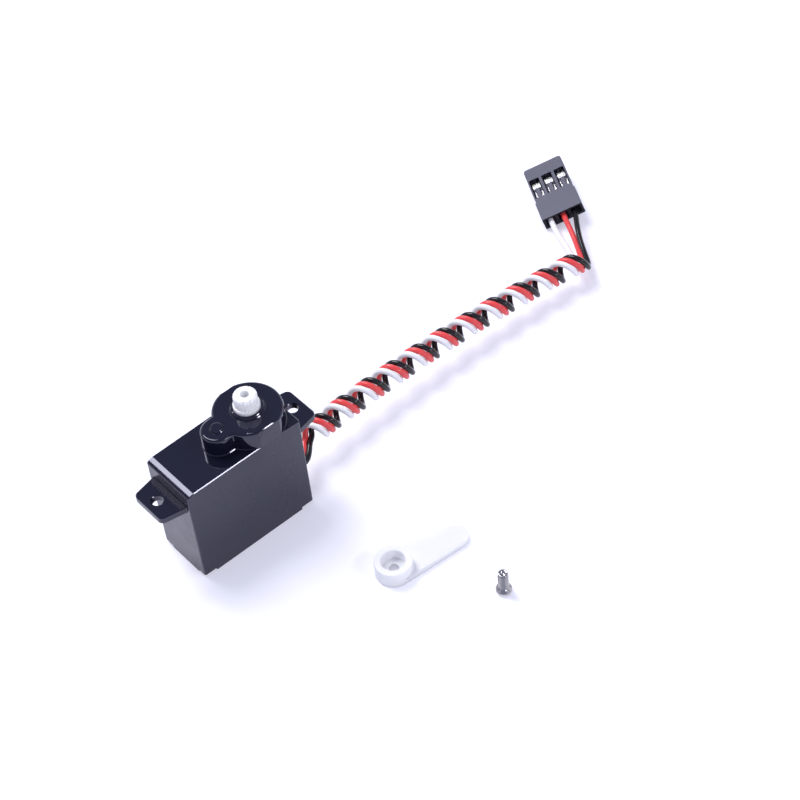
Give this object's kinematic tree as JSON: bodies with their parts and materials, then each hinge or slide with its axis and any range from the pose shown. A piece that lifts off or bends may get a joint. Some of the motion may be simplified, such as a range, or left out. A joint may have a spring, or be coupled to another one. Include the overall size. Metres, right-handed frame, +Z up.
{
  "type": "servo motor",
  "caption": "Sub-micro servo motor in a black moulded case with mounting tabs, white splined output shaft, curled three-wire lead with plug, loose one-arm horn and screw.",
  "frame": {"origin": "on the output shaft axis, in the plane of the case bottom that the servo stands on", "axes": "+Z up along the output shaft, +X from the motor end to the lead end, +Y across the case"},
  "size_m": [0.113, 0.0698, 0.0274],
  "materials": {
    "case_black": "gloss",
    "steel": "satin",
    "gear_nylon": "satin",
    "shaft_nylon": "satin",
    "motor_steel": "satin",
    "cap_plastic": "satin",
    "tinned": "satin",
    "magnet": "matte",
    "rotor_steel": "satin",
    "brass": "satin",
    "pot_grey": "satin",
    "board_green": "satin",
    "chip_black": "matte",
    "capacitor_tan": "satin",
    "rubber_black": "matte",
    "wire_black": "gloss",
    "wire_red": "gloss",
    "wire_white": "gloss",
    "plug_black": "satin",
    "horn_white": "satin",
    "screw_steel": "satin"
  },
  "bodies": {
    "case": {"bottom_cover": "case_black", "middle_case": "case_black", "top_housing": "case_black", "case_screw_1": "steel", "case_screw_2": "steel", "case_screw_3": "steel", "case_screw_4": "steel", "idler_pin": "steel", "motor_can": "motor_steel", "motor_cap": "cap_plastic", "motor_terminals": "tinned", "motor_magnets": "magnet", "pot_body": "pot_grey", "pot_pins": "tinned", "circuit_board": "board_green", "control_chip": "chip_black", "capacitor": "capacitor_tan", "lead_gland": "rubber_black", "lead_wire_black": "wire_black", "lead_wire_red": "wire_red", "lead_wire_white": "wire_white", "plug_housing": "plug_black", "plug_crimp_black": "tinned", "plug_crimp_red": "tinned", "plug_crimp_white": "tinned", "horn": "horn_white", "horn_screw": "screw_steel"},
    "rotor": {"motor_rotor": "rotor_steel", "motor_pinion": "brass"},
    "first_gear": {"gear_1": "gear_nylon"},
    "second_gear": {"gear_2": "gear_nylon"},
    "third_gear": {"gear_3": "gear_nylon"},
    "output": {"output_shaft": "shaft_nylon", "pot_shaft": "steel"}
  },
  "joints": [
    {"name": "motor_spin", "type": "hinge", "parent": "case", "child": "rotor", "pos_m": [-0.01188, 0, 0], "axis": [0, 0, 1], "range_deg": [-6121, 6121]},
    {"name": "gear_1_spin", "type": "hinge", "parent": "case", "child": "first_gear", "pos_m": [-0.00625, 0, 0], "axis": [0, 0, 1], "range_deg": [-1531, 1531]},
    {"name": "gear_2_spin", "type": "hinge", "parent": "case", "child": "second_gear", "pos_m": [0, 0, 0], "axis": [0, 0, 1], "range_deg": [-596, 596]},
    {"name": "gear_3_spin", "type": "hinge", "parent": "case", "child": "third_gear", "pos_m": [-0.00625, 0, 0], "axis": [0, 0, 1], "range_deg": [-232, 232]},
    {"name": "output_spin", "type": "hinge", "parent": "case", "child": "output", "pos_m": [0, 0, 0], "axis": [0, 0, 1], "range_deg": [-90, 90]}
  ],
  "couplings": [
    {"joint": "gear_1_spin", "follows": "motor_spin", "ratio": -0.25},
    {"joint": "gear_2_spin", "follows": "motor_spin", "ratio": 0.097222},
    {"joint": "gear_3_spin", "follows": "motor_spin", "ratio": -0.037809},
    {"joint": "output_spin", "follows": "motor_spin", "ratio": 0.014703}
  ]
}
